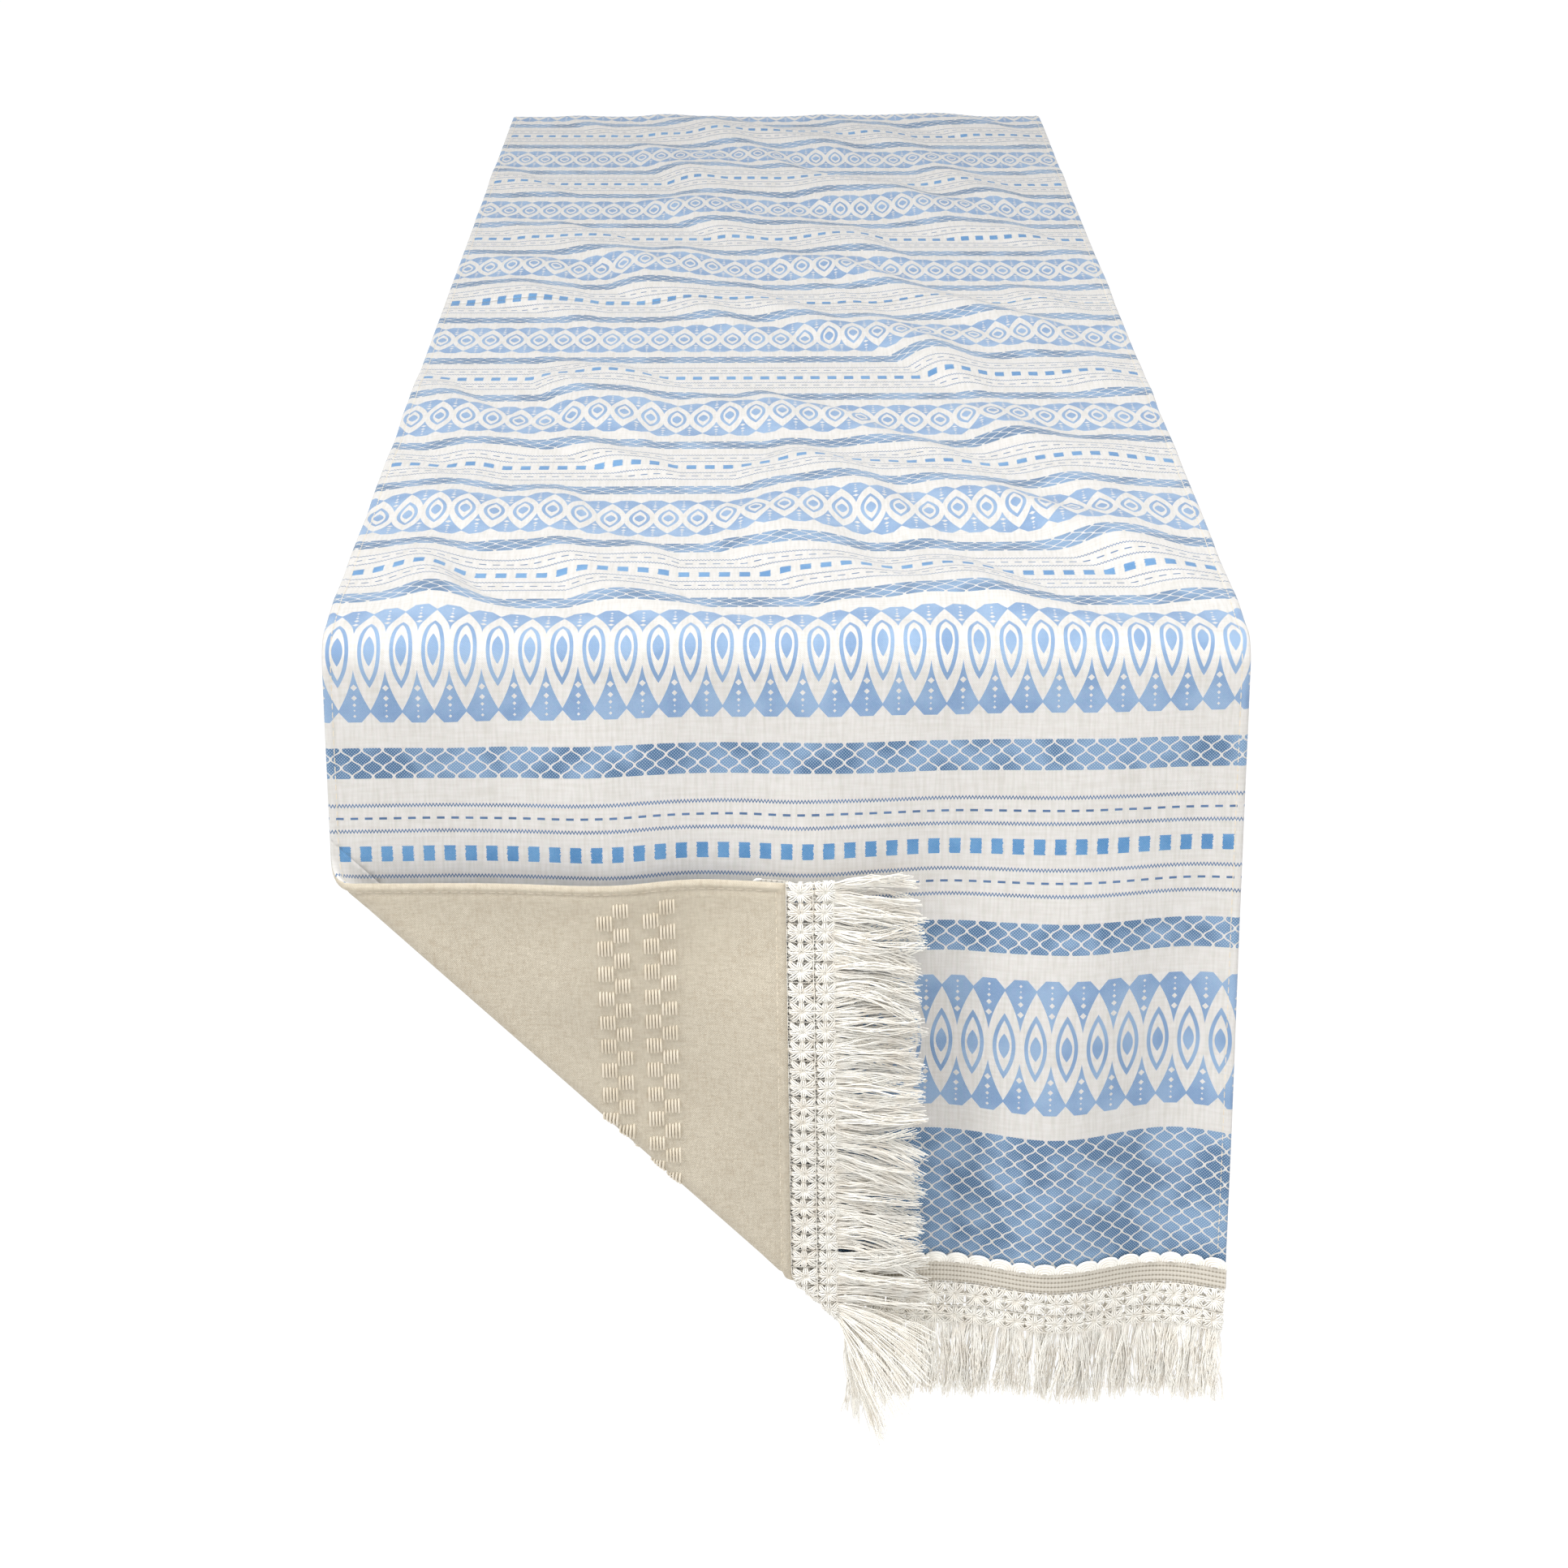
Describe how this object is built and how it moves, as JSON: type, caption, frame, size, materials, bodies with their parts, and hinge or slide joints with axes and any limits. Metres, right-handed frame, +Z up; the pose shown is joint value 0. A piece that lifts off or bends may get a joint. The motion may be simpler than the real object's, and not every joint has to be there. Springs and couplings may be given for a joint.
{
  "type": "table runner",
  "caption": "Lined table runner draped over both ends of a table, patterned face, plain lining, crocheted and fringed ends, one lower corner turned up.",
  "frame": {"origin": "middle of the lining's underside where it lies on the table top", "axes": "+Z up out of the table top, +X across the runner, -Y towards the near end with the turned corner"},
  "size_m": [0.3563, 1.17, 0.3291],
  "materials": {
    "face_cloth": "jacquard woven cotton and linen, off-white ground with blue pattern bands, matt",
    "lining_cloth": "slubby plain-weave linen look, beige, matt",
    "trim_cotton": "soft cotton yarn, cream white, crocheted and left as a fringe",
    "sewing_thread": "spun sewing thread, cream, slight sheen"
  },
  "bodies": {
    "top": {"top_face_cloth": "face_cloth", "top_lining": "lining_cloth", "top_left_topstitch": "sewing_thread", "top_right_topstitch": "sewing_thread"},
    "near_drop": {"near_drop_face_cloth": "face_cloth", "near_drop_lining": "lining_cloth", "near_drop_left_topstitch": "sewing_thread", "near_drop_right_topstitch": "sewing_thread", "near_drop_end_topstitch": "sewing_thread", "near_drop_embroidery_row_1": "trim_cotton", "near_drop_embroidery_row_2": "trim_cotton", "near_drop_embroidery_row_3": "trim_cotton", "near_drop_embroidery_row_4": "trim_cotton", "near_drop_scalloped_edge": "trim_cotton", "near_drop_tape": "trim_cotton", "near_drop_crochet_row_upper": "trim_cotton", "near_drop_crochet_row_lower": "trim_cotton", "near_drop_fringe": "trim_cotton", "near_bend_face_cloth": "face_cloth", "near_bend_lining": "lining_cloth", "corner_fold_face_cloth": "face_cloth", "corner_fold_lining": "lining_cloth", "corner_fold_tape": "trim_cotton", "corner_fold_crochet_row_upper": "trim_cotton", "corner_fold_crochet_row_lower": "trim_cotton"},
    "turned_corner": {"turned_corner_face_cloth": "face_cloth", "turned_corner_lining": "lining_cloth", "turned_corner_side_topstitch": "sewing_thread", "turned_corner_end_topstitch": "sewing_thread", "turned_corner_embroidery_row_1": "trim_cotton", "turned_corner_embroidery_row_2": "trim_cotton", "turned_corner_embroidery_row_3": "trim_cotton", "turned_corner_embroidery_row_4": "trim_cotton", "turned_corner_scalloped_edge": "trim_cotton", "turned_corner_tape": "trim_cotton", "turned_corner_crochet_row_upper": "trim_cotton", "turned_corner_crochet_row_lower": "trim_cotton", "turned_corner_fringe": "trim_cotton"},
    "far_drop": {"far_drop_face_cloth": "face_cloth", "far_drop_lining": "lining_cloth", "far_drop_left_topstitch": "sewing_thread", "far_drop_right_topstitch": "sewing_thread", "far_drop_end_topstitch": "sewing_thread", "far_drop_embroidery_row_1": "trim_cotton", "far_drop_embroidery_row_2": "trim_cotton", "far_drop_embroidery_row_3": "trim_cotton", "far_drop_embroidery_row_4": "trim_cotton", "far_drop_scalloped_edge": "trim_cotton", "far_drop_tape": "trim_cotton", "far_drop_crochet_row_upper": "trim_cotton", "far_drop_crochet_row_lower": "trim_cotton", "far_drop_fringe": "trim_cotton", "far_bend_face_cloth": "face_cloth", "far_bend_lining": "lining_cloth"}
  },
  "joints": [
    {"name": "near_drop_lift", "type": "hinge", "parent": "top", "child": "near_drop", "pos_m": [0, -0.5675, -0.01], "axis": [-1, 0, 0], "range_deg": [0, 90], "deforming": ["near_bend_face_cloth", "near_bend_lining"]},
    {"name": "far_drop_lift", "type": "hinge", "parent": "top", "child": "far_drop", "pos_m": [0, 0.5675, -0.01], "axis": [1, 0, 0], "range_deg": [0, 90], "deforming": ["far_bend_face_cloth", "far_bend_lining"]},
    {"name": "corner_fold", "type": "hinge", "parent": "near_drop", "child": "turned_corner", "pos_m": [-0.08765, -0.5829, -0.17428], "axis": [0.712, 0, -0.7021], "range_deg": [0, 180], "deforming": ["corner_fold_face_cloth", "corner_fold_lining", "corner_fold_tape", "corner_fold_crochet_row_upper", "corner_fold_crochet_row_lower"]}
  ]
}
